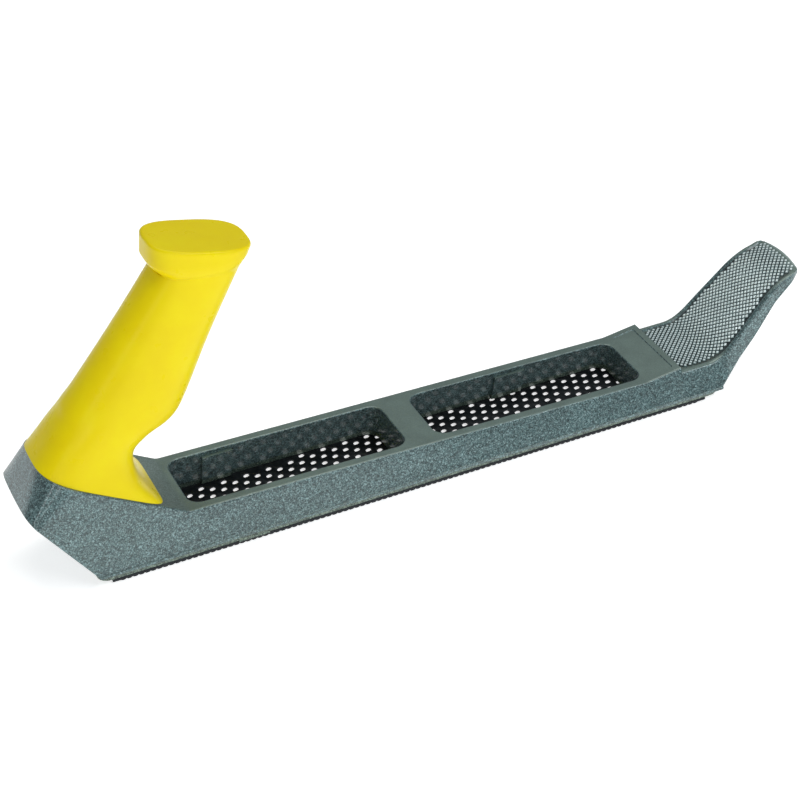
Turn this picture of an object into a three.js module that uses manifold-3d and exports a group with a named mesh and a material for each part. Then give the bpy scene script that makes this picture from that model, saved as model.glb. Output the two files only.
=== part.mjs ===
// Perforated-blade rasp plane: a cast body with an up-swept front horn, a moulded rear handle, and a
// thin toothed blade that a screw at the toe pulls tight along the sole. Millimetres, +Z up.
// Pieces are drawn with X = 0 where the row of teeth starts at the heel, Y = 0 on the centre line and
// Z = 0 at the tips of the teeth. The exported group moves them so that X = 0 is halfway along.

import * as THREE from 'three';
import { mergeVertices } from 'three/addons/utils/BufferGeometryUtils.js';
import Module from 'manifold-3d';

const wasm = await Module();
wasm.setup();

// ---- driving dimensions ----
const GAP = 0.3;                 // clearance left between pieces that rest on each other

const REAR_END = -25.9;          // rearmost edge of the casting, on the centre line
const HORN_TIP = 291.6;          // foremost point of the horn
const BEAD_REAR = -8;            // the bead starts here, behind where the slope cuts the edge off
const SOLE_FRONT = 252.6;        // front corner of the casting's lower edge
const EDGE_Z = 4.1;              // lower edge of the casting's outer wall
const BEAD_TOP = 5.4;            // top of the narrow bead along that edge
const BEAD_OUT = 0.4;            // how far the bead stands out
const HALF_BOTTOM = 21.7;        // half width of the casting just above the bead
const HALF_TOP = 18.1;           // half width of the casting along its top edge
const SEAT_END = [31.6, 19.3];   // where the handle's sloping seat meets the level land
const SEAT_SLOPE = 0.579;        // fall of the seat, height over length
const RAMP_START = [220.8, 15];  // where the land turns up in front of the windows
const RAMP_END = [235.4, 17];    // front edge of that ramp
const REAR_EDGE_Z = 33.6;        // height of the casting's rearmost edge
const UNDERCUT = 0.698;          // rearward run over height of the slope under the rear edge

// Rear halves of two squarish ovals, round the rear edge and round the handle's foot: the [x, z] of the
// middle, the reach back from there to the rearmost point, the half width and how square the oval is.
const REAR_OVAL = { middle: [-5, REAR_EDGE_Z], reach: [-20.9, 0], half: 19.6, square: 6.5 };
const SEAT_OVAL = { middle: [3.45, 35.65], reach: [-21.35, 12.45], half: 18.4, square: 3.4 };

const RAIL_HALF = 20.8;          // the casting's set-in rail, which bears on the blade's edges
const RAIL_BOTTOM = 1.6;
const RAIL_ENDS = [-4.7, 251.9];

// The two chip windows: rear and front ends, and the height of the land half way along each.
const WINDOWS = [{ ends: [33.7, 119.8], land: 17.4 }, { ends: [132, 220.5], land: 15.3 }];
const WINDOW_HALF = 14;          // half width of a window at the land
const WINDOW_CORNER = 5;
const WALL_DRAFT = 0.3;          // how far the side walls spread per millimetre downwards

const BLADE_ENDS = [0, 245.6];
const BLADE_HALF = 20.5;
const BLADE_SHEET = 1.3;         // top of the blade's sheet above the tips of its teeth
const BLADE_LIP = 0.6;
const BLADE_LIP_TOP = 5.1;
const BLADE_LIP_HALF = 11;

const SCREW_Z = 7.75;            // axis of the blade's tension screw, along X
const SCREW_R = 2;
const TOE_WALL = [246.8, 250.5]; // front wall that the tension screw pulls against
const TOE_CAVITY_TOP = 11.2;
const TOE_CAVITY_REAR = 224;

const HANDLE_SCREW_X = [-8, 7];  // where the handle's screws cross the seat
const HANDLE_SCREW_R = 2.2;
const SEAT_PLATE = 3.8;

const DISC = { x: 50.5, z: 118.5, tilt: 13, half: 18.9, halfWidth: 13.1 };  // flat top of the handle

const TURN = Math.PI / 180;
const SEAT_ANGLE = Math.atan(SEAT_SLOPE);

// ---- materials ----
const paint = new THREE.MeshStandardMaterial({ color: 0x667476, roughness: 0.45, metalness: 0.6 });
const yellow = new THREE.MeshStandardMaterial({ color: 0xf2e008, roughness: 0.28, metalness: 0 });
const blackSteel = new THREE.MeshStandardMaterial({ color: 0x23272a, roughness: 0.5, metalness: 0.8 });
const plated = new THREE.MeshStandardMaterial({ color: 0xb9bcbd, roughness: 0.35, metalness: 0.9 });

// ---- solids ----
function toSolid(geometry) {
  const bare = geometry.clone();
  bare.deleteAttribute('normal');
  bare.deleteAttribute('uv');
  const merged = mergeVertices(bare, 1e-4);
  return new wasm.Manifold(new wasm.Mesh({
    numProp: 3,
    vertProperties: new Float32Array(merged.attributes.position.array),
    triVerts: new Uint32Array(merged.index.array),
  }));
}

function toGeometry(solid) {
  const mesh = solid.getMesh();
  const geometry = new THREE.BufferGeometry();
  geometry.setAttribute('position', new THREE.BufferAttribute(mesh.vertProperties, 3));
  geometry.setIndex(new THREE.BufferAttribute(mesh.triVerts, 1));
  geometry.computeVertexNormals();
  return geometry;
}

function signedVolume(positions, index) {
  const [a, b, c] = [new THREE.Vector3(), new THREE.Vector3(), new THREE.Vector3()];
  let volume = 0;
  for (let i = 0; i < index.length; i += 3) {
    a.fromArray(positions, 3 * index[i]);
    b.fromArray(positions, 3 * index[i + 1]);
    c.fromArray(positions, 3 * index[i + 2]);
    volume += a.dot(b.cross(c)) / 6;
  }
  return volume;
}

// Skin over rings of [x, y, z] points, with a point in the middle of each end.
function loft(rings) {
  const count = rings[0].length;
  const positions = rings.flat(2);
  const index = [];
  for (let r = 0; r + 1 < rings.length; r += 1) {
    for (let i = 0; i < count; i += 1) {
      const next = (i + 1) % count;
      const [a, b] = [r * count + i, r * count + next];
      index.push(a, b, b + count, a, b + count, a + count);
    }
  }
  for (const [ring, flip] of [[0, true], [rings.length - 1, false]]) {
    const middle = positions.length / 3;
    for (let axis = 0; axis < 3; axis += 1) {
      positions.push(rings[ring].reduce((sum, point) => sum + point[axis], 0) / count);
    }
    for (let i = 0; i < count; i += 1) {
      const [a, b] = [ring * count + i, ring * count + (i + 1) % count];
      index.push(...(flip ? [b, a, middle] : [a, b, middle]));
    }
  }
  if (signedVolume(positions, index) < 0) {
    for (let i = 0; i < index.length; i += 3) {
      [index[i], index[i + 1]] = [index[i + 1], index[i]];
    }
  }
  const geometry = new THREE.BufferGeometry();
  geometry.setAttribute('position', new THREE.BufferAttribute(new Float32Array(positions), 3));
  geometry.setIndex(index);
  return toSolid(geometry);
}

// A side outline of [x, z] points, extruded across the body between two y values.
function sideSlab(points, fromY, toY) {
  const shape = new THREE.Shape(points.map(([x, z]) => new THREE.Vector2(x, z)));
  const geometry = new THREE.ExtrudeGeometry(shape, { depth: toY - fromY, bevelEnabled: false });
  geometry.rotateX(Math.PI / 2);
  geometry.translate(0, toY, 0);
  return toSolid(geometry);
}

function roundedRectangle([fromX, toX], halfWidth, radius) {
  const shape = new THREE.Shape();
  shape.moveTo(fromX + radius, -halfWidth);
  shape.lineTo(toX - radius, -halfWidth);
  shape.absarc(toX - radius, -halfWidth + radius, radius, -Math.PI / 2, 0);
  shape.absarc(toX - radius, halfWidth - radius, radius, 0, Math.PI / 2);
  shape.absarc(fromX + radius, halfWidth - radius, radius, Math.PI / 2, Math.PI);
  shape.absarc(fromX + radius, -halfWidth + radius, radius, Math.PI, 1.5 * Math.PI);
  return shape;
}

function planPrism(shape, fromZ, toZ) {
  const settings = { depth: toZ - fromZ, bevelEnabled: false, curveSegments: 5 };
  return new THREE.ExtrudeGeometry(shape, settings).translate(0, 0, fromZ);
}

function box([x0, x1], [y0, y1], [z0, z1]) {
  const geometry = new THREE.BoxGeometry(x1 - x0, y1 - y0, z1 - z0);
  return toSolid(geometry.translate((x0 + x1) / 2, (y0 + y1) / 2, (z0 + z1) / 2));
}

// A turned solid: [radius, height] points about +Z, its profile starting and ending on the axis.
function turned(profile, segments = 24) {
  const points = profile.map(([radius, height]) => new THREE.Vector2(radius, height));
  return new THREE.LatheGeometry(points, segments).rotateX(Math.PI / 2);
}

function rod(radius, from, to, segments = 24) {
  return turned([[0, from], [radius, from], [radius, to], [0, to]], segments);
}

// Turns +Z to +X, for the pieces on the tension screw's axis.
function alongX(geometry) {
  return geometry.rotateY(Math.PI / 2).translate(0, 0, SCREW_Z);
}

// ---- the casting ----
function seatHeight(x) {
  return SEAT_END[1] + (SEAT_END[0] - x) * SEAT_SLOPE;
}

function polyline(points, x) {
  const last = points.length - 1;
  const i = Math.min(Math.max(points.findIndex((point) => point[0] >= x), 1), last);
  const [[x0, v0], [x1, v1]] = [points[i - 1], points[i]];
  return v0 + (v1 - v0) * (x - x0) / (x1 - x0);
}

// polyline() with its corners rounded over a distance of reach to each side.
function softPolyline(points, x, reach) {
  const steps = 9;
  let sum = 0;
  for (let i = 0; i < steps; i += 1) {
    sum += polyline(points, x + reach * (2 * i / (steps - 1) - 1));
  }
  return sum / steps;
}

// The horn's upper and lower outlines on the centre line, and its half widths, as straight stretches.
// The upper outline runs level, then up at 45 degrees, then flatter to the tip, with soft bends.
const HORN_TOP = [[235.4, 14.6], [253.8, 14.6], [279, 39.9], [HORN_TIP, 44]];
const HORN_HALF = [[235.4, 17.7], [259, 17.7], [279, 14.9], [HORN_TIP, 14]];
const HORN_UNDER = [[SOLE_FRONT, EDGE_Z], [270, 21], [279, 32], [HORN_TIP, 42.9]];
const HORN_UNDER_HALF = [[SOLE_FRONT, HALF_BOTTOM], [262, 18.3], [280, 15], [HORN_TIP, 14]];
const HORN_BEND = 5;             // reach of the soft bends to each side

function topHeight(x) {
  if (x < SEAT_END[0]) return seatHeight(x);
  if (x < RAMP_END[0]) return polyline([SEAT_END, RAMP_START, RAMP_END], x);
  return softPolyline(HORN_TOP, x, HORN_BEND);
}

function underHeight(x) {
  if (x < SOLE_FRONT) return EDGE_Z;
  return polyline(HORN_UNDER, x);
}

// Half width at a point of the side wall: it leans in from the bead to the top edge.
function wallHalf(x, z) {
  const edge = x < SEAT_END[0] ? seatHeight(x) : topHeight(x);
  const up = (z - BEAD_TOP) / (edge - BEAD_TOP);
  return HALF_BOTTOM + (HALF_TOP - HALF_BOTTOM) * up;
}

function bodySection(x) {
  const [top, under] = [topHeight(x), underHeight(x)];
  const onHorn = x >= RAMP_END[0];
  const halfTop = onHorn ? softPolyline(HORN_HALF, x, HORN_BEND) : wallHalf(x, top);
  const halfUnder = x < SOLE_FRONT ? wallHalf(x, under) : polyline(HORN_UNDER_HALF, x);
  const onSole = x > BEAD_REAR && x <= SOLE_FRONT;
  const bead = onSole ? BEAD_OUT : 0;
  const rise = Math.min(BEAD_TOP - EDGE_Z, 0.3 * (top - under));
  const half = [
    [halfUnder + bead, under],
    [halfUnder + bead, under + rise],
    [halfUnder, under + 1.2 * rise],
    [(halfTop + halfUnder) / 2, (top + under) / 2],
    [halfTop, top],
  ];
  const near = half.map(([y, z]) => [x, -y, z]);
  const far = half.map(([y, z]) => [x, y, z]).reverse();
  return [...near, ...far];
}

function ovalPoint({ middle, reach, half, square }, angle) {
  const back = Math.cos(angle) ** (2 / square);
  const across = Math.sign(angle) * Math.abs(Math.sin(angle)) ** (2 / square) * half;
  return [middle[0] + reach[0] * back, across, middle[1] + reach[1] * back];
}

// Everything in front of the back face, a skin between the two ovals that runs on past both of them.
function backPrism() {
  const [steps, wide] = [18, 45];
  const ring = (share, level) => {
    const back = [];
    for (let i = 0; i <= steps; i += 1) {
      const angle = (0.5 - i / steps) * 160 * TURN;
      const [low, high] = [ovalPoint(REAR_OVAL, angle), ovalPoint(SEAT_OVAL, angle)];
      back.push(low.map((value, axis) => value + (high[axis] - value) * share));
    }
    const [x, z] = [back[0][0] + 2, back[0][2]];
    const front = [[x, -wide, z], [HORN_TIP + 60, -wide, z], [HORN_TIP + 60, wide, z], [x, wide, z]];
    return [...back, ...front].map((point) => (level === undefined ? point : [point[0], point[1], level]));
  };
  return loft([ring(-1.6, -30), ring(-1.6), ring(0), ring(1), ring(2), ring(2, 80)]);
}

// Everything in front of the slope under the rear edge, which is a shallow arc in plan.
function underPrism() {
  const [half, crown, steps] = [HALF_BOTTOM + 4, 1.6, 6];
  const arcRadius = (half ** 2 + crown ** 2) / (2 * crown);
  const ring = (z) => {
    const shift = -UNDERCUT * (z - REAR_EDGE_Z);
    const points = [];
    for (let i = 0; i <= steps; i += 1) {
      const y = half * (1 - 2 * i / steps);
      points.push([REAR_END + arcRadius - Math.sqrt(arcRadius ** 2 - y ** 2) + shift, y, z]);
    }
    return [...points, [HORN_TIP + 60, -half, z], [HORN_TIP + 60, half, z]];
  };
  return loft([ring(-10), ring(REAR_EDGE_Z + 40)]);
}

function tipPrism() {
  const tipRadius = 76;
  const shape = new THREE.Shape();
  shape.moveTo(REAR_END - 10, -30);
  shape.lineTo(HORN_TIP - tipRadius, -30);
  const steps = 16;
  for (let i = 0; i <= steps; i += 1) {
    const angle = (i / steps - 0.5) * 44 * TURN;
    shape.lineTo(HORN_TIP - tipRadius + tipRadius * Math.cos(angle), tipRadius * Math.sin(angle));
  }
  shape.lineTo(HORN_TIP - tipRadius, 30);
  shape.lineTo(REAR_END - 10, 30);
  return toSolid(planPrism(shape, 0, 60));
}

function castingOutside() {
  const stations = [
    REAR_END - 1, -22, -16, BEAD_REAR, BEAD_REAR + 0.5, 4, 14, 24, SEAT_END[0], 80, 140, 190,
    RAMP_START[0], RAMP_END[0] - 0.2, RAMP_END[0], 242, 248, SOLE_FRONT, SOLE_FRONT + 0.3, 255.5,
    259, 263, 267, 271, 275, 279, 283, 287, HORN_TIP,
  ];
  const rough = loft(stations.map(bodySection));
  return rough.intersect(backPrism()).intersect(underPrism()).intersect(tipPrism());
}

function rail() {
  return toSolid(planPrism(roundedRectangle(RAIL_ENDS, RAIL_HALF, 4), RAIL_BOTTOM, EDGE_Z + 1));
}

function windowCut({ ends, land }) {
  const geometry = planPrism(roundedRectangle(ends, WINDOW_HALF, WINDOW_CORNER), -2, 30);
  const position = geometry.attributes.position;
  for (let i = 0; i < position.count; i += 1) {
    const spread = (land - position.getZ(i)) * WALL_DRAFT;
    position.setY(i, position.getY(i) + Math.sign(position.getY(i)) * spread);
  }
  return toSolid(geometry);
}

// Hollow under the handle's seat, open to the sole.
function heelCavity() {
  const roof = SEAT_PLATE / Math.cos(SEAT_ANGLE);
  const outline = [
    [5, -1], [5, 9], [-4.2, 12.5], [-20, 33.4], [-14.8, seatHeight(-14.8) - roof],
    [28, seatHeight(28) - roof], [28, -1],
  ];
  return sideSlab(outline, -13.8, 13.8);
}

function toeCavity() {
  return box([TOE_CAVITY_REAR, TOE_WALL[0]], [-12.5, 12.5], [-1, TOE_CAVITY_TOP]);
}

// Notch in the sloping front face, open downwards, that takes the head of the tension screw.
function screwNotch() {
  const radius = 4.5;
  const bore = toSolid(alongX(rod(radius, TOE_WALL[1], TOE_WALL[1] + 20)));
  const slot = box([TOE_WALL[1], TOE_WALL[1] + 20], [-radius, radius], [-1, SCREW_Z]);
  return bore.add(slot);
}

// A place on the seat, with +Z along the seat's normal.
function onSeat(geometry, x) {
  return geometry.rotateY(SEAT_ANGLE).translate(x, 0, seatHeight(x));
}

function casting() {
  let solid = castingOutside().add(rail());
  for (const window of WINDOWS) {
    solid = solid.subtract(windowCut(window));
  }
  const lipSlot = box([BLADE_ENDS[0] - 1.6, BLADE_ENDS[0] + 1], [-12, 12], [-1, 6]);
  const bridgeCore = box([124, 127.8], [-13, 13], [-1, 12]);
  const shankHole = toSolid(alongX(rod(SCREW_R + GAP, TOE_WALL[0] - 5, TOE_WALL[1] + 1)));
  for (const cut of [heelCavity(), toeCavity(), lipSlot, bridgeCore, shankHole, screwNotch()]) {
    solid = solid.subtract(cut);
  }
  for (const x of HANDLE_SCREW_X) {
    solid = solid.subtract(toSolid(onSeat(rod(HANDLE_SCREW_R + GAP, -8, 4), x)));
  }
  return solid;
}

// ---- the blade ----
function blade() {
  const [rear, front] = BLADE_ENDS;
  const sheet = box([rear, front], [-BLADE_HALF, BLADE_HALF], [0, BLADE_SHEET]);
  const lipY = [-BLADE_LIP_HALF, BLADE_LIP_HALF];
  const rearLip = box([rear, rear + BLADE_LIP], lipY, [0, BLADE_LIP_TOP]);
  const frontLip = box([front - BLADE_LIP, front], lipY, [0, BLADE_LIP_TOP]);
  return sheet.add(rearLip).add(frontLip);
}

// ---- the tension screw and what it pulls ----
function tensioner() {
  const face = BLADE_ENDS[1] - BLADE_LIP - GAP;
  const block = box([face - 10, face], [-7, 7], [BLADE_LIP_TOP - 0.1, TOE_CAVITY_TOP - GAP]);
  const nose = box([face - 2.6, face], [-6, 6], [BLADE_SHEET + GAP, BLADE_LIP_TOP + 1]);
  const thread = toSolid(alongX(rod(SCREW_R + GAP, face - 20, face + 5)));
  return block.add(nose).subtract(thread);
}

function crossRecess(reach, depth, top) {
  const along = box([-reach, reach], [-0.5, 0.5], [top - depth, top + 1]);
  return along.add(box([-0.5, 0.5], [-reach, reach], [top - depth, top + 1]));
}

// A pan-head screw standing on z = 0 under its head, with the shank pointing down.
function panScrew(shankRadius, length, headRadius, headHeight) {
  const body = turned([
    [0, -length], [0.6 * shankRadius, -length], [shankRadius, -length + shankRadius], [shankRadius, 0],
    [headRadius, 0], [headRadius, 0.5 * headHeight], [0.7 * headRadius, headHeight], [0, headHeight],
  ]);
  return toSolid(body).subtract(crossRecess(0.55 * headRadius, 0.5 * headHeight, headHeight));
}

function washer(innerRadius, outerRadius, thickness) {
  return toSolid(rod(outerRadius, 0, thickness)).subtract(toSolid(rod(innerRadius, -1, thickness + 1)));
}

// An open ring that snaps into a groove in the screw behind the toe wall.
function retainingRing() {
  const ring = washer(SCREW_R + GAP, 3.3, 0.6);
  return ring.subtract(box([-0.9, 0.9], [0, 5], [-1, 2]));
}

// ---- the handle ----
// Cross-sections from the foot to the neck: rear point, front point, half width, and how square the
// rear and front halves of the outline are (2 is an ellipse). Smooth curves join them.
const HANDLE_SECTIONS = [
  { rear: [-18, 48.1], front: [24, 23.8], half: 17.5, square: [3.4, 8] },
  { rear: [-14, 53], front: [18, 34], half: 16.3, square: [2.9, 4] },
  { rear: [-9.5, 58.5], front: [18, 43.5], half: 15.1, square: [2.6, 2.6] },
  { rear: [-6, 62.5], front: [24.5, 49], half: 14.4, square: [2.5, 2.4] },
  { rear: [-3.5, 66], front: [34, 53], half: 14, square: [2.4, 2.3] },
  { rear: [0.5, 70.5], front: [38.5, 58], half: 13.7, square: [2.3, 2.3] },
  { rear: [18.5, 92], front: [51, 82], half: 12.3, square: [2.3, 2.3] },
  { rear: [33.5, 110], front: [64, 106], half: 11.8, square: [2.6, 2.6] },
];

// Steps of the round rim under the flat top: how far below the top the rear and the front of the
// outline are, the inset at the rear, and the inset all round.
const RIM_STEPS = [
  { rearBelow: 11.5, frontBelow: 5.6, rearInset: 3.2, inset: 0.7 },
  { rearBelow: 9.4, frontBelow: 4, rearInset: 1, inset: 0.2 },
  { rearBelow: 7.6, frontBelow: 3, rearInset: 0, inset: 0 },
  { rearBelow: 0.9, frontBelow: 0.9, rearInset: 0, inset: 0 },
  { rearBelow: 0.3, frontBelow: 0.3, rearInset: 0, inset: 0.2 },
  { rearBelow: 0, frontBelow: 0, rearInset: 0, inset: 0.8 },
];
const FRONT_LEAN = 0.56;         // forward run over height of the front of the grip, under the rim
const REAR_LEAN = 0.12;          // rearward run over depth of the rim's rear

// Sections between the given ones, on smooth curves: each leaves along the line between its neighbours.
function smoothSections(sections, steps) {
  const rows = sections.map(({ rear, front, half, square }) => [...rear, ...front, half, ...square]);
  const places = [0];
  for (let i = 1; i < rows.length; i += 1) {
    const gap = Math.hypot(...rows[i].slice(0, 4).map((value, k) => value - rows[i - 1][k]));
    places.push(places[i - 1] + gap);
  }
  const slopes = rows.map((row, i) => {
    const [before, after] = [Math.max(i - 1, 0), Math.min(i + 1, rows.length - 1)];
    return row.map((_, k) => (rows[after][k] - rows[before][k]) / (places[after] - places[before]));
  });
  const out = [];
  for (let i = 0; i + 1 < rows.length; i += 1) {
    const gap = places[i + 1] - places[i];
    for (let step = 0; step < steps; step += 1) {
      const t = step / steps;
      const weights = [2 * t ** 3 - 3 * t ** 2 + 1, 3 * t ** 2 - 2 * t ** 3];
      const leans = [gap * (t ** 3 - 2 * t ** 2 + t), gap * (t ** 3 - t ** 2)];
      out.push(rows[i].map((value, k) => weights[0] * value + weights[1] * rows[i + 1][k]
        + leans[0] * slopes[i][k] + leans[1] * slopes[i + 1][k]));
    }
  }
  out.push(rows[rows.length - 1]);
  return out.map((row) => (
    { rear: row.slice(0, 2), front: row.slice(2, 4), half: row[4], square: row.slice(5) }
  ));
}

function handleRing({ rear, front, half, square }, inset = 0, count = 36) {
  const centre = [(rear[0] + front[0]) / 2, (rear[1] + front[1]) / 2];
  const reach = [(front[0] - rear[0]) / 2, (front[1] - rear[1]) / 2];
  const shrink = 1 - inset / Math.hypot(...reach);
  const ring = [];
  for (let i = 0; i < count; i += 1) {
    const angle = 2 * Math.PI * (i + 0.5) / count;
    const [c, s] = [Math.cos(angle), Math.sin(angle)];
    const power = 2 / (c < 0 ? square[0] : square[1]);
    const along = Math.sign(c) * Math.abs(c) ** power * shrink;
    const across = Math.sign(s) * Math.abs(s) ** power * (half - inset);
    ring.push([centre[0] + reach[0] * along, across, centre[1] + reach[1] * along]);
  }
  return ring;
}

function rimSection({ rearBelow, frontBelow, rearInset, inset }) {
  const tilt = DISC.tilt * TURN;
  const [ahead, behind] = [DISC.half - inset, DISC.half - inset - rearInset];
  const rear = [DISC.x - behind * Math.cos(tilt), DISC.z + behind * Math.sin(tilt) - rearBelow];
  const front = [DISC.x + ahead * Math.cos(tilt), DISC.z - ahead * Math.sin(tilt) - frontBelow];
  front[0] -= FRONT_LEAN * frontBelow;
  rear[0] -= REAR_LEAN * rearBelow;
  return { rear, front, half: DISC.halfWidth - inset, square: [3, 3] };
}

// Everything above the seat, or above a plane that is a given distance along the seat's normal.
function aboveSeat(offset) {
  const geometry = new THREE.BoxGeometry(300, 100, 200).translate(0, 0, 100 + offset);
  return toSolid(onSeat(geometry, 0));
}

function handle() {
  const sunk = { rear: [-19.2, 46.5], front: [25.4, 19.8], half: 17.6, square: [3.4, 8] };
  const [flare, rim] = [RIM_STEPS.slice(0, 3).map(rimSection), RIM_STEPS.slice(3).map(rimSection)];
  const outside = [sunk, ...smoothSections([...HANDLE_SECTIONS, ...flare], 2), ...rim];
  const skin = loft(outside.map((section) => handleRing(section)));
  const wall = 3.4;
  const inside = [sunk, ...smoothSections(HANDLE_SECTIONS.slice(0, -1), 2)];
  const hollow = inside.map((section) => handleRing(section, wall, 20));
  const web = skin.intersect(sideSlab([[-60, 0], [90, 0], [90, 120], [-60, 120]], -1.3, 1.3));
  let solid = skin.subtract(loft(hollow)).add(web.subtract(aboveSeat(22)));
  for (const x of HANDLE_SCREW_X) {
    solid = solid.add(toSolid(onSeat(rod(5, 0, 18), x)));
  }
  for (const x of HANDLE_SCREW_X) {
    solid = solid.subtract(toSolid(onSeat(rod(HANDLE_SCREW_R + GAP, -2, 16), x)));
  }
  return solid.intersect(aboveSeat(GAP));
}

// ---- assembly ----
const group = new THREE.Group();
group.position.x = -(REAR_END + HORN_TIP) / 2;

function addPiece(name, solid, material) {
  const mesh = new THREE.Mesh(toGeometry(solid), material);
  mesh.name = name;
  group.add(mesh);
  return mesh;
}

addPiece('body_casting', casting(), paint);
addPiece('handle', handle(), yellow);
addPiece('rasp_blade', blade(), blackSteel);
addPiece('blade_tensioner', tensioner(), plated);

// The screw's head faces forward: its own -Z points to the rear of the tool.
function placeOnScrewAxis(mesh, x) {
  mesh.rotation.y = Math.PI / 2;
  mesh.position.set(x, 0, SCREW_Z);
}

const washerFront = TOE_WALL[1] + GAP + 0.8;
const tensionScrew = addPiece('tension_screw', panScrew(SCREW_R, 21, 3.5, 2.4), plated);
placeOnScrewAxis(tensionScrew, washerFront + GAP);
const tensionWasher = addPiece('tension_screw_washer', washer(SCREW_R + GAP, 4.1, 0.8), plated);
placeOnScrewAxis(tensionWasher, TOE_WALL[1] + GAP);
const ring = addPiece('tension_screw_retaining_ring', retainingRing(), plated);
placeOnScrewAxis(ring, TOE_WALL[0] - GAP - 0.6);

['rear', 'front'].forEach((place, i) => {
  const x = HANDLE_SCREW_X[i];
  const seat = new THREE.Group();
  seat.position.set(x, 0, seatHeight(x));
  seat.rotation.y = SEAT_ANGLE;
  group.add(seat);
  const flatWasher = addPiece(`handle_washer_${place}`, washer(HANDLE_SCREW_R + GAP, 5, 1), plated);
  flatWasher.position.z = -SEAT_PLATE - GAP - 1;
  const screw = addPiece(`handle_screw_${place}`, panScrew(HANDLE_SCREW_R, 19, 4.2, 3), plated);
  screw.rotation.x = Math.PI;
  screw.position.z = -SEAT_PLATE - 2 * GAP - 1;
  seat.add(flatWasher, screw);
});

export default group;
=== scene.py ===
"""Looks of a perforated-blade rasp plane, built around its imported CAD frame.

Shapes are drawn in millimetres, with X = 0 at the rear end of the blade, Y = 0 on the centre line and
Z = 0 at the tips of the teeth. place() then puts them in the row frame, in metres.
"""

import math

import bmesh
import bpy
import numpy as np
from mathutils import Matrix, Vector
from mathutils.geometry import delaunay_2d_cdt


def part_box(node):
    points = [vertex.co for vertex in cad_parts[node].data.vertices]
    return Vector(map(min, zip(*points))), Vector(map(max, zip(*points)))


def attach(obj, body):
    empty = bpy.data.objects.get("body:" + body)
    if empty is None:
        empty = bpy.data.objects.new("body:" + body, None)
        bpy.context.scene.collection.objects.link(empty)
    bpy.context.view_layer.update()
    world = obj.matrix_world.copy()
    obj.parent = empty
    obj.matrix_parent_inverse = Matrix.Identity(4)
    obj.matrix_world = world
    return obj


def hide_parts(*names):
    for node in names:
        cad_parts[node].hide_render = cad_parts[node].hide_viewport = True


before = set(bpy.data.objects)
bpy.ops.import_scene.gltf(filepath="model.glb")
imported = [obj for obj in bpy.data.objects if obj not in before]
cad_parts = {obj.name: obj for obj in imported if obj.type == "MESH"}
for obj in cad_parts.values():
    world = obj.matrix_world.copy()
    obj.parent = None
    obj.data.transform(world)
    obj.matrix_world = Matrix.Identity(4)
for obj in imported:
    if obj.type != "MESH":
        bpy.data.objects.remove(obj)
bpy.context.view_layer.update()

# ---- driving dimensions, in millimetres in the drawing's own frame ----
MM = 0.001
ORIGIN_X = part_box("rasp_blade")[0].x  # the drawing's X = 0, in the row frame
REAR_END = (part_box("body_casting")[0].x - ORIGIN_X) / MM
HORN_TIP = (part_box("body_casting")[1].x - ORIGIN_X) / MM

SOLE_REAR, SOLE_FRONT = -5.3, 252.6
EDGE_Z, BEAD_TOP, BEAD_OUT = 4.1, 5.4, 0.4
HALF_BOTTOM, HALF_TOP = 21.7, 18.1
SEAT_END, SEAT_SLOPE = (31.6, 19.3), 0.579
RAMP_START, RAMP_END = (220.8, 15.0), (235.4, 17.0)
REAR_EDGE_Z, UNDERCUT = 33.6, 0.698
# Ovals round the rear edge and round the handle's foot: middle (x, z), reach back, half width, squareness.
REAR_OVAL = ((-5, REAR_EDGE_Z), (-20.9, 0), 19.6, 6.5)
SEAT_OVAL = ((3.45, 35.65), (-21.35, 12.45), 18.4, 3.4)
EDGE_ROUND = 1.0  # radius along the casting's top edges
RIM_ROUND = 1.7  # radius along the edges of the horn
TIP_ROUND = 76.0  # radius of the horn's end in plan
KNURL_DEPTH = 0.7
KNURL_CROWN = 0.7  # how far the knurl's floor rises from its sides to the centre line
KNURL_PITCH = 2.15
KNURL_MARGIN = 2.75  # from the horn's side to the outermost pyramids
PYRAMID_MARGIN, WEAR_AND_SHADE_MARGIN = 2.6, 2.3  # from the horn's side to the edge of the floor they are measured from

RAIL_HALF, RAIL_BOTTOM, RAIL_ENDS = 20.8, 1.6, (-4.7, 251.9)
WINDOWS = (
    {"ends": (33.7, 119.8), "pad": (48.0, 60.0)},
    {"ends": (132.0, 220.5), "pad": (170.0, 183.0)},
)
WINDOW_HALF, WINDOW_CORNER, WINDOW_ROUND, WALL_DRAFT = 14.0, 5.0, 0.8, 0.3

BLADE_FRONT, BLADE_HALF = 245.6, 20.5
SHEET_TOP, SHEET_BOTTOM = 1.3, 0.7
EDGE_THICK = 0.6  # the blade's turned-down sides and turned-up ends
HOLE_STEPS = ((3.84, -2.11), (-1.44, -4.2))  # from one hole to its two neighbours
HOLE_START = (83.5, 16.1)
HOLE_HALF, HOLE_SQUARE = 1.08, 3.6  # half size, and how square the outline is (2 is a circle)
HOLE_FROM_END, HOLE_FROM_SIDE = 5, 2.3  # least distance from a hole's centre to the blade's outline
TOOTH_RAMP, TOOTH_HALF = 1.9, 1.35  # length and half width of the pressed ramp behind a hole

SCREW_Z, SCREW_R = 7.75, 2.0
THREAD_PITCH = 0.7
TOE_WALL = (246.8, 250.5)
SEAT_ANGLE = math.atan(SEAT_SLOPE)
SEAT_PLATE = 3.8  # thickness of the casting under the handle
CLEARANCE = 0.3
HANDLE_SCREW_X = (-8.0, 7.0)


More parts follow.
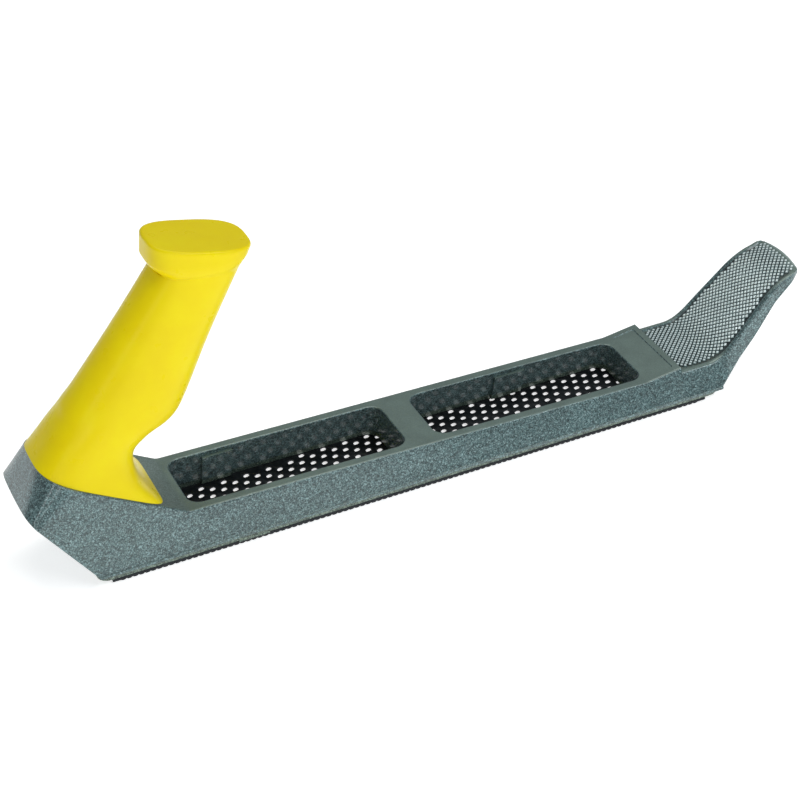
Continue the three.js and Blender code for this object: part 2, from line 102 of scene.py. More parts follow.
# ---- camera, lights and floor ----
def make_camera():
    """A 92 mm lens at the heel's near side, looking down, with a little roll."""
    azimuth, elevation, roll = math.radians(-23.36), math.radians(34.65), math.radians(-2.534)
    flat = math.cos(elevation)
    forward = Vector((-math.sin(azimuth) * flat, math.cos(azimuth) * flat, -math.sin(elevation)))
    level = forward.cross(Vector((0, 0, 1))).normalized()
    upright = level.cross(forward)
    right = math.cos(roll) * level + math.sin(roll) * upright
    up = right.cross(forward)
    position = Vector((-0.26163, -0.58347, 0.46626))
    data = bpy.data.cameras.new("camera")
    data.sensor_width = 36
    data.lens = 92.455
    data.clip_start = 0.01
    camera = bpy.data.objects.new("camera", data)
    camera.matrix_world = Matrix((
        (right.x, up.x, -forward.x, position.x),
        (right.y, up.y, -forward.y, position.y),
        (right.z, up.z, -forward.z, position.z),
        (0, 0, 0, 1),
    ))
    bpy.context.scene.collection.objects.link(camera)
    bpy.context.scene.camera = camera


def make_light(name, position, target, size, power, colour):
    data = bpy.data.lights.new(name, "AREA")
    data.shape = "RECTANGLE"
    data.size, data.size_y = size
    data.energy = power
    data.color = colour
    lamp = bpy.data.objects.new(name, data)
    lamp.location = position
    aim = Vector(target) - Vector(position)
    lamp.rotation_euler = aim.to_track_quat("-Z", "Y").to_euler()
    bpy.context.scene.collection.objects.link(lamp)


def make_stage():
    """A pale floor that glows like a light table, pale surroundings and large soft lights."""
    world = bpy.data.worlds.new("studio")
    world.use_nodes = True
    background = world.node_tree.nodes["Background"]
    background.inputs["Color"].default_value = (0.86, 0.92, 1.0, 1)
    background.inputs["Strength"].default_value = 0.24
    bpy.context.scene.world = world

    material = bpy.data.materials.new("pale_floor")
    material.use_nodes = True
    shader = material.node_tree.nodes["Principled BSDF"]
    shader.inputs["Base Color"].default_value = (0.8, 0.8, 0.8, 1)
    shader.inputs["Roughness"].default_value = 0.9
    shader.inputs["Specular IOR Level"].default_value = 0.1
    shader.inputs["Emission Color"].default_value = (1, 1, 1, 1)
    shader.inputs["Emission Strength"].default_value = 0.66
    half = 4.0
    corners = [(-half, -half, 0), (half, -half, 0), (half, half, 0), (-half, half, 0)]
    floor = new_object("floor", corners, [(0, 1, 2, 3)])
    floor.data.materials.append(material)
    floor.location.z = -0.0002

    middle = (0, 0, 0.03)
    make_light("key", (-0.4, -1.05, 0.55), middle, (0.6, 0.4), 2.3, (1.0, 0.99, 0.97))
    make_light("corner", (-0.9, -0.7, 0.32), middle, (0.1, 0.5), 0.5, (1.0, 1.0, 1.0))
    make_light("strip", (0.42, -0.72, 0.96), middle, (0.9, 0.3), 5.5, (0.95, 0.98, 1.0))
    make_light("overhead", (0.1, 0.35, 1.2), middle, (0.8, 0.4), 4.6, (1.0, 1.0, 0.93))
    make_light("front", (1.0, -0.75, 0.3), middle, (0.6, 0.4), 0.8, (0.86, 0.93, 1.0))
    bpy.context.scene.view_settings.view_transform = "Standard"


# ---- mesh helpers ----
def new_object(name, points, faces):
    mesh = bpy.data.meshes.new(name)
    mesh.from_pydata([tuple(map(float, point)) for point in points], [], faces)
    obj = bpy.data.objects.new(name, mesh)
    bpy.context.scene.collection.objects.link(obj)
    return obj


def face_outwards(obj):
    work = bmesh.new()
    work.from_mesh(obj.data)
    bmesh.ops.recalc_face_normals(work, faces=work.faces)
    work.to_mesh(obj.data)
    work.free()
    return obj


def loft(name, rings):
    """A closed skin over rings of points, with a flat face at each end."""
    count = len(rings[0])
    points = [point for ring in rings for point in ring]
    faces = []
    for r in range(len(rings) - 1):
        for i in range(count):
            j = (i + 1) % count
            a, b = r * count, (r + 1) * count
            faces.append((a + i, a + j, b + j, b + i))
    faces.append(tuple(range(count)))
    last = (len(rings) - 1) * count
    faces.append(tuple(last + i for i in range(count)))
    return face_outwards(new_object(name, points, faces))


def slab(outline, low, high):
    """A side outline of (x, z) points, carried across from one y to another."""
    return loft("slab", [[(x, y, z) for x, z in outline] for y in (low, high)])


def box(x, y, z):
    return slab([(x[0], z[0]), (x[1], z[0]), (x[1], z[1]), (x[0], z[1])], *y)


def bake(obj):
    """Turns an object's modifiers into its mesh."""
    depsgraph = bpy.context.evaluated_depsgraph_get()
    mesh = bpy.data.meshes.new_from_object(obj.evaluated_get(depsgraph))
    obj.modifiers.clear()
    old, obj.data = obj.data, mesh
    bpy.data.meshes.remove(old)
    return obj


def combine(obj, other, operation):
    modifier = obj.modifiers.new("combine", "BOOLEAN")
    modifier.operation = operation
    modifier.solver = "MANIFOLD"
    modifier.object = other
    bake(obj)
    bpy.data.objects.remove(other)
    return obj


def cut(obj, *others):
    for other in others:
        combine(obj, other, "DIFFERENCE")
    return obj


def join(obj, *others):
    for other in others:
        combine(obj, other, "UNION")
    return obj


def place(obj, name, body, material, nodes=(), sharp=35, weighted=True):
    """Puts a finished shape in the row frame, parents it to the body it rides on and hides the CAD parts it
    stands for.
    """
    obj.data.transform(Matrix.Translation((ORIGIN_X, 0, 0)) @ Matrix.Scale(MM, 4))
    obj.name = name
    obj.data.name = name
    obj.data.materials.clear()
    obj.data.materials.append(material)
    obj.data.shade_smooth()
    obj.data.set_sharp_from_angle(angle=math.radians(sharp))
    if weighted:
        modifier = obj.modifiers.new("normals", "WEIGHTED_NORMAL")
        modifier.keep_sharp = True
    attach(obj, body)
    if nodes:
        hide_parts(*nodes)
    return obj


def polyline(points, x):
    """A value along a list of (x, value) points, carried on straight past both ends."""
    i = min(max(sum(1 for point in points if point[0] < x), 1), len(points) - 1)
    (x0, v0), (x1, v1) = points[i - 1], points[i]
    return v0 + (v1 - v0) * (x - x0) / (x1 - x0)


def soft_polyline(points, x, reach):
    """polyline() with its corners rounded over a distance of reach to each side."""
    steps = 9
    return sum(polyline(points, x + reach * (2 * i / (steps - 1) - 1)) for i in range(steps)) / steps


def bezier(start, middle, end, steps):
    """Points from start to end on a curve that leaves towards middle."""
    points = []
    for i in range(steps + 1):
        t = i / steps
        weights = ((1 - t) ** 2, 2 * t * (1 - t), t * t)
        points.append(tuple(sum(w * p[k] for w, p in zip(weights, (start, middle, end))) for k in (0, 1)))
    return points


# ---- the casting ----
# The horn's upper and lower outlines on the centre line, and its half widths, as straight stretches.
HORN_TOP = ((235.4, 14.6), (253.8, 14.6), (279, 39.9), (HORN_TIP, 44))
HORN_HALF = ((235.4, 17.7), (259, 17.7), (279, 14.9), (HORN_TIP, 14))
HORN_UNDER = ((SOLE_FRONT, EDGE_Z), (270, 21), (279, 32), (HORN_TIP, 42.9))
HORN_UNDER_HALF = ((SOLE_FRONT, HALF_BOTTOM), (262, 18.3), (280, 15), (HORN_TIP, 14))
HORN_BEND = 5.0  # reach of the soft bends to each side


def seat_height(x):
    return SEAT_END[1] + (SEAT_END[0] - x) * SEAT_SLOPE


def land_height(x):
    back = (0, seat_height(0))
    return soft_polyline((back, SEAT_END, RAMP_START, RAMP_END), x, 1.0)


def top_height(x):
    if x <= RAMP_END[0]:
        return land_height(x)
    return soft_polyline(HORN_TOP, x, HORN_BEND)


def horn_half(x):
    return soft_polyline(HORN_HALF, x, HORN_BEND)


def horn_end(y):
    return HORN_TIP - TIP_ROUND + math.sqrt(TIP_ROUND ** 2 - y ** 2)


def under_height(x):
    if x < SOLE_REAR:
        return EDGE_Z + (SOLE_REAR - x) / UNDERCUT
    if x <= SOLE_FRONT:
        return EDGE_Z
    return max(soft_polyline(HORN_UNDER, x, 1.5), EDGE_Z)


def wall_half(x, z):
    """Half width of the side wall, which leans in from the bead to the top edge."""
    edge = seat_height(x) if x < SEAT_END[0] else top_height(x)
    return HALF_BOTTOM + (HALF_TOP - HALF_BOTTOM) * (z - BEAD_TOP) / (edge - BEAD_TOP)


def body_section(x):
    """The casting's outline across the tool, from the middle of its underside round to the same place."""
    top, under = top_height(x), under_height(x)
    horn = x > RAMP_END[0]
    half_top = horn_half(x) if horn else wall_half(x, top)
    half_under = wall_half(x, under) if x < SOLE_FRONT else polyline(HORN_UNDER_HALF, x)
    bead = BEAD_OUT if SOLE_REAR <= x <= SOLE_FRONT else 0.0
    rise = min(BEAD_TOP - EDGE_Z, 0.3 * (top - under))
    outer = half_under + bead
    small = 0.2 * rise
    foot = (half_under, under + 1.15 * rise)
    wall = Vector((half_top - foot[0], top - foot[1])).normalized()
    radius = min(RIM_ROUND if horn else EDGE_ROUND, 0.45 * (top - under))
    reach = 0.75 * radius
    start = (half_top - wall.x * reach, top - wall.y * reach)
    end = (half_top - reach, top)
    half = [(0, under), (0.5 * half_under, under)]
    half += bezier((outer - small, under), (outer, under), (outer, under + small), 3)
    half += bezier((outer, under + rise - small), (outer, under + rise), (outer - small, under + rise), 3)
    half += [foot, ((foot[0] + start[0]) / 2, (foot[1] + start[1]) / 2)]
    half += bezier(start, (half_top, top), end, 6)
    drop = min(KNURL_DEPTH, 0.2 * (top - under)) if horn else 0.0
    lip = 0.5 if horn else 1.0
    half += [(end[0] - lip, top - 0.1 * drop), (end[0] - 2 * lip, top - drop)]
    inner = end[0] - 2 * lip
    crown = KNURL_CROWN if horn else 0.0
    for share in (0.75, 0.5, 0.25, 0.0):
        half.append((inner * share, top - drop + crown * (1 - share ** 2)))
    near = [(x, -y, z) for y, z in half]
    far = [(x, y, z) for y, z in half[1:-1]]
    return near + far[::-1]


def oval_point(oval, angle):
    """A point on the rear half of a squarish oval; the angle runs from side to side round the back."""
    middle, reach, half, square = oval
    back = math.cos(angle) ** (2 / square)
    across = math.copysign(abs(math.sin(angle)) ** (2 / square) * half, angle)
    return Vector((middle[0] + reach[0] * back, across, middle[1] + reach[1] * back))


def back_prism():
    """Everything in front of the back face, a skin between the two ovals that runs on past both of them."""
    steps, wide = 64, 45
    rings = []
    for share, level in ((-1.6, -30), (-1.6, None), (0, None), (1, None), (2, None), (2, 80)):
        ring = []
        for i in range(steps + 1):
            angle = (0.5 - i / steps) * math.radians(160)
            ring.append(oval_point(REAR_OVAL, angle).lerp(oval_point(SEAT_OVAL, angle), share))
        x, z = ring[0].x + 2, ring[0].z
        ahead = HORN_TIP + 60
        ring += [Vector(p) for p in ((x, -wide, z), (ahead, -wide, z), (ahead, wide, z), (x, wide, z))]
        rings.append([(p.x, p.y, p.z if level is None else level) for p in ring])
    return loft("back", rings)


def under_prism():
    """Everything in front of the slope under the rear edge, which is a shallow arc in plan."""
    half, crown = HALF_BOTTOM + 4, 1.6
    radius = (half ** 2 + crown ** 2) / (2 * crown)
    rings = []
    for z in (-10, REAR_EDGE_Z + 40):
        shift = REAR_END + radius - UNDERCUT * (z - REAR_EDGE_Z)
        ring = [(shift - math.sqrt(radius ** 2 - y ** 2), y, z) for y in np.linspace(half, -half, 33)]
        rings.append(ring + [(HORN_TIP + 60, -half, z), (HORN_TIP + 60, half, z)])
    return loft("under", rings)


def tip_prism():
    """The horn's end in plan: a wide arc with its corners taken off."""
    half, corner, wide = 13.9, 2.2, 30
    back, horn = REAR_END - 10, HORN_TIP - 24
    arc = []
    for y in np.linspace(-half, half, 25):
        inset = max(abs(y) - (half - corner), 0)
        round_off = corner - math.sqrt(max(corner ** 2 - inset ** 2, 0))
        arc.append((horn_end(y) - round_off, y))
    near = [(back, -wide), (horn, -wide), (arc[0][0] - 4, -half - 1.2)]
    far = [(arc[-1][0] - 4, half + 1.2), (horn, wide), (back, wide)]
    return loft("tip", [[(x, y, z) for x, y in near + arc + far] for z in (-1, 70)])


def bend_stations(x):
    """Stations close together round a soft bend of the land."""
    return list(np.linspace(x - 1.2, x + 1.2, 7))


def casting_outside():
    step = 0.02  # how close stations stand to a sudden change of section
    stations = [REAR_END - 1, -18, -10, SOLE_REAR - step / 2, SOLE_REAR, 6, 18, 27]
    stations += bend_stations(SEAT_END[0]) + [60, 90, 120, 150, 180, 205]
    stations += bend_stations(RAMP_START[0]) + [226, 230, 234]
    stations += [RAMP_END[0] - step, RAMP_END[0] + step]
    stations += list(np.linspace(236.2, SOLE_FRONT - step, 18))
    stations += list(np.linspace(SOLE_FRONT + step, HORN_TIP, 50))
    rough = loft("casting", [body_section(x) for x in stations])
    combine(rough, back_prism(), "INTERSECT")
    combine(rough, under_prism(), "INTERSECT")
    return combine(rough, tip_prism(), "INTERSECT")


def rounded_rectangle(ends, half, corner, steps=8):
    points = []
    for x, y, start in (
        (ends[1] - corner, corner - half, -90),
        (ends[1] - corner, half - corner, 0),
        (ends[0] + corner, half - corner, 90),
        (ends[0] + corner, corner - half, 180),
    ):
        for i in range(steps + 1):
            angle = math.radians(start + 90 * i / steps)
            points.append((x + corner * math.cos(angle), y + corner * math.sin(angle)))
    return points


def window_ring(ends, depth, outset):
    """The window's outline at a depth below the sloping land, with its side walls spreading downwards."""
    ring = []
    spread = max(depth, 0) * WALL_DRAFT
    wide = (ends[0] - outset, ends[1] + outset)
    for x, y in rounded_rectangle(wide, WINDOW_HALF + outset, WINDOW_CORNER + outset):
        ring.append((x, y + math.copysign(spread, y), land_height(x) - depth))
    return ring


def window_cut(ends):
    deep = [window_ring(ends, depth, 0) for depth in (22, 12, 6, 2, WINDOW_ROUND)]
    steps = 6
    rounded = []
    for i in range(1, steps + 1):
        angle = math.radians(90 * i / steps)
        depth = WINDOW_ROUND * (1 - math.sin(angle))
        rounded.append(window_ring(ends, depth, WINDOW_ROUND * (1 - math.cos(angle))))
    return loft("window", deep + rounded + [window_ring(ends, -12, WINDOW_ROUND)])


def wall_pad(ends, side):
    """A low pad on a window's side wall, from near the rim down to the sole."""
    middle = (ends[0] + ends[1]) / 2
    top, bottom, proud = land_height(middle) - 2.2, RAIL_BOTTOM + 0.2, 1.3
    outline = []
    for z, inset in ((top, proud), (bottom, proud), (bottom, -2.5), (top, -2.5)):
        outline.append((WINDOW_HALF + (land_height(middle) - z) * WALL_DRAFT - inset, z))
    return loft("pad", [[(x, side * y, z) for y, z in outline] for x in ends])


def rail():
    """The set-in rail that bears on the blade's edges."""
    rings = []
    for z, inset in ((RAIL_BOTTOM, 0.25), (RAIL_BOTTOM + 0.25, 0), (EDGE_Z + 1, 0)):
        ends = (RAIL_ENDS[0] + inset, RAIL_ENDS[1] - inset)
        rings.append([(x, y, z) for x, y in rounded_rectangle(ends, RAIL_HALF - inset, 4)])
    return loft("rail", rings)


def round_rod(radius, start, end, count=48):
    """A closed rod along X on the tension screw's axis."""
    turn = [2 * math.pi * i / count for i in range(count)]
    circle = [(radius * math.cos(angle), SCREW_Z + radius * math.sin(angle)) for angle in turn]
    return loft("rod", [[(x, y, z) for y, z in circle] for x in (start, end)])


def heel_cavity():
    """Hollow under the handle's seat, open to the sole."""
    roof = SEAT_PLATE / math.cos(SEAT_ANGLE)
    outline = [(5, -1), (5, 9), (-4.2, 12.5), (-20, 33.4)]
    outline += [(-14.8, seat_height(-14.8) - roof), (28, seat_height(28) - roof), (28, -1)]
    return slab(outline, -13.8, 13.8)


def ramp_panel():
    """A shallow set-in panel on the ramp in front of the windows."""
    depth, ends = 0.3, (223.6, 233.2)
    rings = []
    for below, grow in ((depth, -0.25), (0.0, 0.0), (-3.0, 0.0)):
        plan = rounded_rectangle((ends[0] - grow, ends[1] + grow), 15.4 + grow, 0.8, 3)
        rings.append([(x, y, land_height(x) - below) for x, y in plan])
    return loft("panel", rings)


def knurl_limit(x):
    """Half width of the knurled patch: its rear corners are rounded off, and it follows the horn."""
    half = horn_half(x) - KNURL_MARGIN
    corner, from_rear = 10.0, x - RAMP_END[0]
    if from_rear < corner:
        half -= 0.55 * (corner - math.sqrt(corner ** 2 - (corner - from_rear) ** 2))
    return half


def knurl_floor(x, y, margin):
    """Height of the crowned floor between the pyramids, whose edge is a margin in from the horn's side."""
    inner = horn_half(x) - margin
    return top_height(x) - KNURL_DEPTH + KNURL_CROWN * (1 - (y / inner) ** 2)


def knurl():
    """Rows of small blunt pyramids over the top of the horn, set diagonally."""
    points, faces = [], []
    xs = [RAMP_END[0] + 0.1]
    while xs[-1] < HORN_TIP:
        x = xs[-1]
        slope = (top_height(x + 0.2) - top_height(x)) / 0.2
        xs.append(x + 0.5 * KNURL_PITCH / math.hypot(1, slope))
    for row, x in enumerate(xs[1:]):
        slope = (top_height(x + 0.3) - top_height(x - 0.3)) / 0.6
        along = Vector((1, 0, slope)).normalized()
        normal = Vector((-slope, 0, 1)).normalized()
        columns = int(16 / KNURL_PITCH) + 1
        for column in range(-columns, columns + 1):
            y = (column + 0.5 * (row % 2)) * KNURL_PITCH
            if abs(y) > knurl_limit(x) or x > horn_end(y) - 1.0:
                continue
            inner = horn_half(x) - PYRAMID_MARGIN
            base = Vector((x, y, knurl_floor(x, y, PYRAMID_MARGIN)))
            across = Vector((0, 1, -2 * KNURL_CROWN * y / inner ** 2)).normalized()
            first = len(points)
            for height, reach in ((-0.35, 0.5), (0.04, 0.49), (0.55, 0.3), (0.7, 0.17)):
                size = reach * KNURL_PITCH
                for direction in (along, across, -along, -across):
                    points.append(base + direction * size + normal * height)
            for level in range(3):
                for i in range(4):
                    a, b = first + 4 * level, first + 4 * level + 4
                    faces.append((a + i, a + (i + 1) % 4, b + (i + 1) % 4, b + i))
            faces.append((first + 3, first + 2, first + 1, first))
            faces.append((first + 12, first + 13, first + 14, first + 15))
    return face_outwards(new_object("knurl", points, faces))


def mark_wear_and_shade(body):
    """Stores each point's height in the knurled patch, from -1 on its floor to 1 on the tips, for the paint:
    painted shade on the floor between the pyramids, worn bare metal with painted glints on the tips.
    """
    heights = []
    middle = KNURL_DEPTH / 2
    for vertex in body.data.vertices:
        x, y, z = vertex.co
        inside = RAMP_END[0] + 0.3 < x and abs(y) < knurl_limit(x) + 0.6
        above = (z - knurl_floor(x, y, WEAR_AND_SHADE_MARGIN) - middle) / middle
        heights.append(min(max(above, -1), 1) if inside else 0.0)
    body.data.attributes.new("wear_and_shade", "FLOAT", "POINT").data.foreach_set("value", heights)


def make_casting(material):
    body = casting_outside()
    join(body, rail())
    for window in WINDOWS:
        cut(body, window_cut(window["ends"]))
        for side in (-1, 1):
            join(body, wall_pad(window["pad"], side))
    cut(body, heel_cavity(), box((224, TOE_WALL[0]), (-12.5, 12.5), (-1, 11.2)))
    cut(body, box((-1.6, 1), (-12, 12), (-1, 6)), box((124, 127.8), (-13, 13), (-1, 12)))
    cut(body, round_rod(SCREW_R + CLEARANCE, TOE_WALL[0] - 5, TOE_WALL[1] + 1))
    notch_half, notch_end = 4.5, TOE_WALL[1] + 20
    cut(body, round_rod(notch_half, TOE_WALL[1], notch_end))
    cut(body, box((TOE_WALL[1], notch_end), (-notch_half, notch_half), (-1, SCREW_Z)))
    cut(body, ramp_panel())
    join(body, knurl())
    mark_wear_and_shade(body)
    return place(body, "casting", "body", material, ["body_casting"])


# ---- the handle ----
# Cross-sections from the foot to the neck: rear point, front point, half width, and how square the
# rear and front halves of the outline are (2 is an ellipse). Smooth curves join them.
HANDLE_SECTIONS = (
    ((-18, 48.1), (24, 23.8), 17.5, (3.4, 8)),
    ((-14, 53), (18, 34), 16.3, (2.9, 4)),
    ((-9.5, 58.5), (18, 43.5), 15.1, (2.6, 2.6)),
    ((-6, 62.5), (24.5, 49), 14.4, (2.5, 2.4)),
    ((-3.5, 66), (34, 53), 14, (2.4, 2.3)),
    ((0.5, 70.5), (38.5, 58), 13.7, (2.3, 2.3)),
    ((18.5, 92), (51, 82), 12.3, (2.3, 2.3)),
    ((33.5, 110), (64, 106), 11.8, (2.6, 2.6)),
)
DISC_X, DISC_Z, DISC_TILT, DISC_HALF, DISC_HALF_WIDTH = 50.5, 118.5, math.radians(13), 18.9, 13.1
FRONT_LEAN, REAR_LEAN = 0.56, 0.12  # run over depth of the rim's front and rear
# Outlines under the flat top: how far below it their rear and front are, the inset at the rear, and the
# inset all round.
RIM_STEPS = ((11.5, 5.6, 3.2, 0.7), (9.4, 4, 1, 0.2), (7.6, 3, 0, 0))


def rim_row(rear_below, front_below, rear_inset, inset):
    """One outline of the rim, as a row of numbers like section_row()."""
    ahead, behind = DISC_HALF - inset, DISC_HALF - inset - rear_inset
    c, s = math.cos(DISC_TILT), math.sin(DISC_TILT)
    rear = (DISC_X - behind * c - REAR_LEAN * rear_below, DISC_Z + behind * s - rear_below)
    front = (DISC_X + ahead * c - FRONT_LEAN * front_below, DISC_Z - ahead * s - front_below)
    return section_row(rear, front, DISC_HALF_WIDTH - inset, (3, 3))


def section_row(rear, front, half, square):
    return np.array([*rear, *front, half, *square])


def smooth_rows(rows, steps):
    """Rows between the given ones, on curves: each leaves along the line between its neighbours."""
    rows = np.array(rows)
    gaps = np.linalg.norm(np.diff(rows[:, :4], axis=0), axis=1)
    places = np.concatenate([[0], np.cumsum(gaps)])
    order = np.arange(len(rows))
    before = np.maximum(order - 1, 0)
    after = np.minimum(order + 1, len(rows) - 1)
    slopes = (rows[after] - rows[before]) / (places[after] - places[before])[:, None]
    out = []
    for i, gap in enumerate(gaps):
        for k in range(steps):
            t = k / steps
            a, b = 2 * t ** 3 - 3 * t ** 2 + 1, t ** 3 - 2 * t ** 2 + t
            c, d = 3 * t ** 2 - 2 * t ** 3, t ** 3 - t ** 2
            out.append(a * rows[i] + b * gap * slopes[i] + c * rows[i + 1] + d * gap * slopes[i + 1])
    return out + [rows[-1]]


def handle_ring(row, count=112):
    rear_x, rear_z, front_x, front_z, half, rear_square, front_square = row
    middle = ((rear_x + front_x) / 2, (rear_z + front_z) / 2)
    reach = ((front_x - rear_x) / 2, (front_z - rear_z) / 2)
    ring = []
    for i in range(count):
        angle = 2 * math.pi * (i + 0.5) / count
        c, s = math.cos(angle), math.sin(angle)
        power = 2 / (rear_square if c < 0 else front_square)
        along = math.copysign(abs(c) ** power, c)
        across = math.copysign(abs(s) ** power, s) * half
        ring.append((middle[0] + reach[0] * along, across, middle[1] + reach[1] * along))
    return ring


def make_handle(material):
    rows = [section_row(*section) for section in HANDLE_SECTIONS]
    rows += [rim_row(*step) for step in RIM_STEPS]
    grip = smooth_rows(rows, 6)
    grip += [rim_row(below, below, 0, 0) for below in (2.6, 1.8, 1.2)]
    rim_radius, steps = 1.1, 6
    for i in range(steps + 1):
        angle = math.radians(90 * i / steps)
        inset = rim_radius * (1 - math.cos(angle))
        below = rim_radius * (1 - math.sin(angle))
        grip.append(rim_row(below, below, 0, inset))
    handle = loft("handle", [handle_ring(row) for row in grip])
    return place(handle, "grip_handle", "body", material, ["handle"], sharp=50)


# ---- the blade ----
def hole_centres():
    centres = []
    (ax, ay), (bx, by) = HOLE_STEPS
    far_i, far_j = 60, 40  # more steps than it takes to pass both ends and both sides
    for i in range(-far_i, far_i + 1):
        for j in range(-far_j, far_j + 1):
            x = HOLE_START[0] + i * ax + j * bx
            y = HOLE_START[1] + i * ay + j * by
            if HOLE_FROM_END < x < BLADE_FRONT - HOLE_FROM_END and abs(y) < BLADE_HALF - HOLE_FROM_SIDE:
                centres.append((x, y))
    return centres


def hole_outline(count=14):
    power = 2 / HOLE_SQUARE
    outline = []
    for i in range(count):
        angle = 2 * math.pi * (i + 0.5) / count
        c, s = math.cos(angle), math.sin(angle)
        outline.append((
            HOLE_HALF * math.copysign(abs(c) ** power, c),
            HOLE_HALF * math.copysign(abs(s) ** power, s),
        ))
    return outline


def tooth_dip(dx, dy):
    """How far the sheet is pressed down at a point near a hole: a ramp that ends at the hole's rear edge."""
    behind = -HOLE_HALF - dx
    if abs(dy) > TOOTH_HALF or behind > TOOTH_RAMP or dx > 0:
        return 0.0
    along = 1 - max(behind, 0) / TOOTH_RAMP
    return (SHEET_BOTTOM - 0.02) * along ** 1.5 * math.cos(0.5 * math.pi * dy / TOOTH_HALF) ** 0.7


def perforated_sheet():
    outline = hole_outline()
    points, edges, dips = [], [], []
    inset = 0.3  # how far short of the blade's outline the sheet stops, inside the edges joined on later
    low, high = inset, BLADE_FRONT - inset
    half = BLADE_HALF - inset
    border = [(low, -half), (high, -half), (high, half), (low, half)]
    for i, point in enumerate(border):
        points.append(point)
        edges.append((i, (i + 1) % 4))
        dips.append(0.0)
    centres = hole_centres()
    ramp_points = []
    for back in (0.5, 1.1, TOOTH_RAMP):
        ramp_points += [(-HOLE_HALF - back, side) for side in (-1.0, -0.5, 0.0, 0.5, 1.0)]
    for x, y in centres:
        first = len(points)
        for i, (dx, dy) in enumerate(outline):
            points.append((x + dx, y + dy))
            dips.append(tooth_dip(dx, dy))
            edges.append((first + i, first + (i + 1) % len(outline)))
        for dx, dy in ramp_points:
            points.append((x + dx, y + dy))
            dips.append(tooth_dip(dx, dy))
    flat, _, faces, origins, _, _ = delaunay_2d_cdt([Vector(p) for p in points], edges, [], 0, 1e-5)
    depth = [max((dips[o] for o in origin), default=0.0) for origin in origins]
    array = np.array(centres)

    def in_hole(face):
        cx = sum(flat[v].x for v in face) / len(face)
        cy = sum(flat[v].y for v in face) / len(face)
        near = np.abs(array - (cx, cy))
        return bool((((near / HOLE_HALF) ** HOLE_SQUARE).sum(axis=1) < 1).any())

    kept = [tuple(face) for face in faces if not in_hole(face)]
    count = len(flat)
    upper = [(p.x, p.y, SHEET_TOP - 0.85 * d) for p, d in zip(flat, depth)]
    lower = [(p.x, p.y, SHEET_BOTTOM - d) for p, d in zip(flat, depth)]
    sides = {}
    for face in kept:
        for a, b in zip(face, face[1:] + face[:1]):
            sides[(a, b)] = True
    walls = [(a, a + count, b + count, b) for a, b in sides if (b, a) not in sides]
    under = [tuple(v + count for v in reversed(face)) for face in kept]
    return face_outwards(new_object("sheet", upper + lower, kept + under + walls))


def edge_teeth(side):
    """The blade's edge turned down, cut into a row of teeth along its lower side."""
    pitch = 2.28
    profile = ((0.0, 0.3), (0.2, 0.05), (0.5, 0.0), (1.2, 0.0), (1.6, 0.1), (1.8, 0.35), (2.1, 0.35))
    outer, inner = side * BLADE_HALF, side * (BLADE_HALF - EDGE_THICK)
    rings = []
    count = int((BLADE_FRONT - 4) / pitch)
    start = (BLADE_FRONT - count * pitch) / 2
    stations = [(0.0, 0.35)]
    for i in range(count):
        stations += [(start + i * pitch + dx, z) for dx, z in profile]
    stations.append((BLADE_FRONT, 0.35))
    for x, z in stations:
        outside = [(x, outer, z), (x, outer, 1.15), (x, outer - side * 0.15, SHEET_TOP)]
        rings.append(outside + [(x, inner, SHEET_TOP), (x, inner, z)])
    return loft("edge", rings)


def end_lip(front):
    """The blade's end, turned up to hook over what pulls it tight."""
    x0, x1 = (BLADE_FRONT - EDGE_THICK, BLADE_FRONT) if front else (0.0, EDGE_THICK)
    outline = [(x0, SHEET_BOTTOM), (x1, SHEET_BOTTOM), (x1, 5.1), (x0, 5.1)]
    return slab(outline, -11, 11)


def make_blade(material):
    blade = perforated_sheet()
    bands = [box((x0, x1), (-BLADE_HALF + 0.1, BLADE_HALF - 0.1), (SHEET_BOTTOM, SHEET_TOP))
             for x0, x1 in ((0.0, 0.4), (BLADE_FRONT - 0.4, BLADE_FRONT))]
    join(blade, edge_teeth(-1), edge_teeth(1), *bands, end_lip(False), end_lip(True))
    return place(blade, "toothed_blade", "body", material, ["rasp_blade"], weighted=False)


# ---- screws and fittings ----
def thread_rings(radius, start, end, pitch, count=32):
    """Rings of a threaded shank along its axis: the radius follows a helix."""
    steps = int((end - start) / pitch * 8)
    depth = 0.55 * pitch
    rings = []
    for i in range(steps + 1):
        along = start + (end - start) * i / steps
        ring = []
        for k in range(count):
            turn = k / count
            phase = (along / pitch - turn) % 1
            r = radius - depth * (1 - abs(2 * phase - 1)) * 0.9
            ring.append((r, 2 * math.pi * turn, along))
        rings.append(ring)
    return rings


def screw_profile(shank, length, head, height):
    """A pan-head screw about +Z, standing on z = 0 under its head."""
    thread = thread_rings(shank, -length + 1, -1, THREAD_PITCH)
    angles = [angle for _, angle, _ in thread[0]]
    shoulder = (head, 0.45 * height)
    edge = [(head, 0), (head + 0.05, 0.15), shoulder]
    edge += bezier(shoulder, (0.92 * head, height), (0.55 * head, height), 6)[1:]
    edge.append((0.2 * head, height))
    tip = [[(0.55 * shank, angle, -length) for angle in angles]]
    rest = [[(r, angle, z) for angle in angles] for r, z in [(shank, -0.9), (shank, 0)] + edge]
    rings = []
    for ring in tip + thread + rest:
        rings.append([(r * math.cos(angle), r * math.sin(angle), z) for r, angle, z in ring])
    return rings


def cross_recess(head, height):
    """Cutter for a cross-shaped recess that narrows downwards."""
    shapes = []
    for along in (0, 1):
        rings = []
        for z, reach, half in ((0.4 * height, 0.25 * head, 0.2), (1.2 * height, 0.62 * head, 0.42)):
            corners = [(-reach, -half), (reach, -half), (reach, half), (-reach, half)]
            rings.append([((y, x, z) if along else (x, y, z)) for x, y in corners])
        shapes.append(loft("recess", rings))
    return shapes


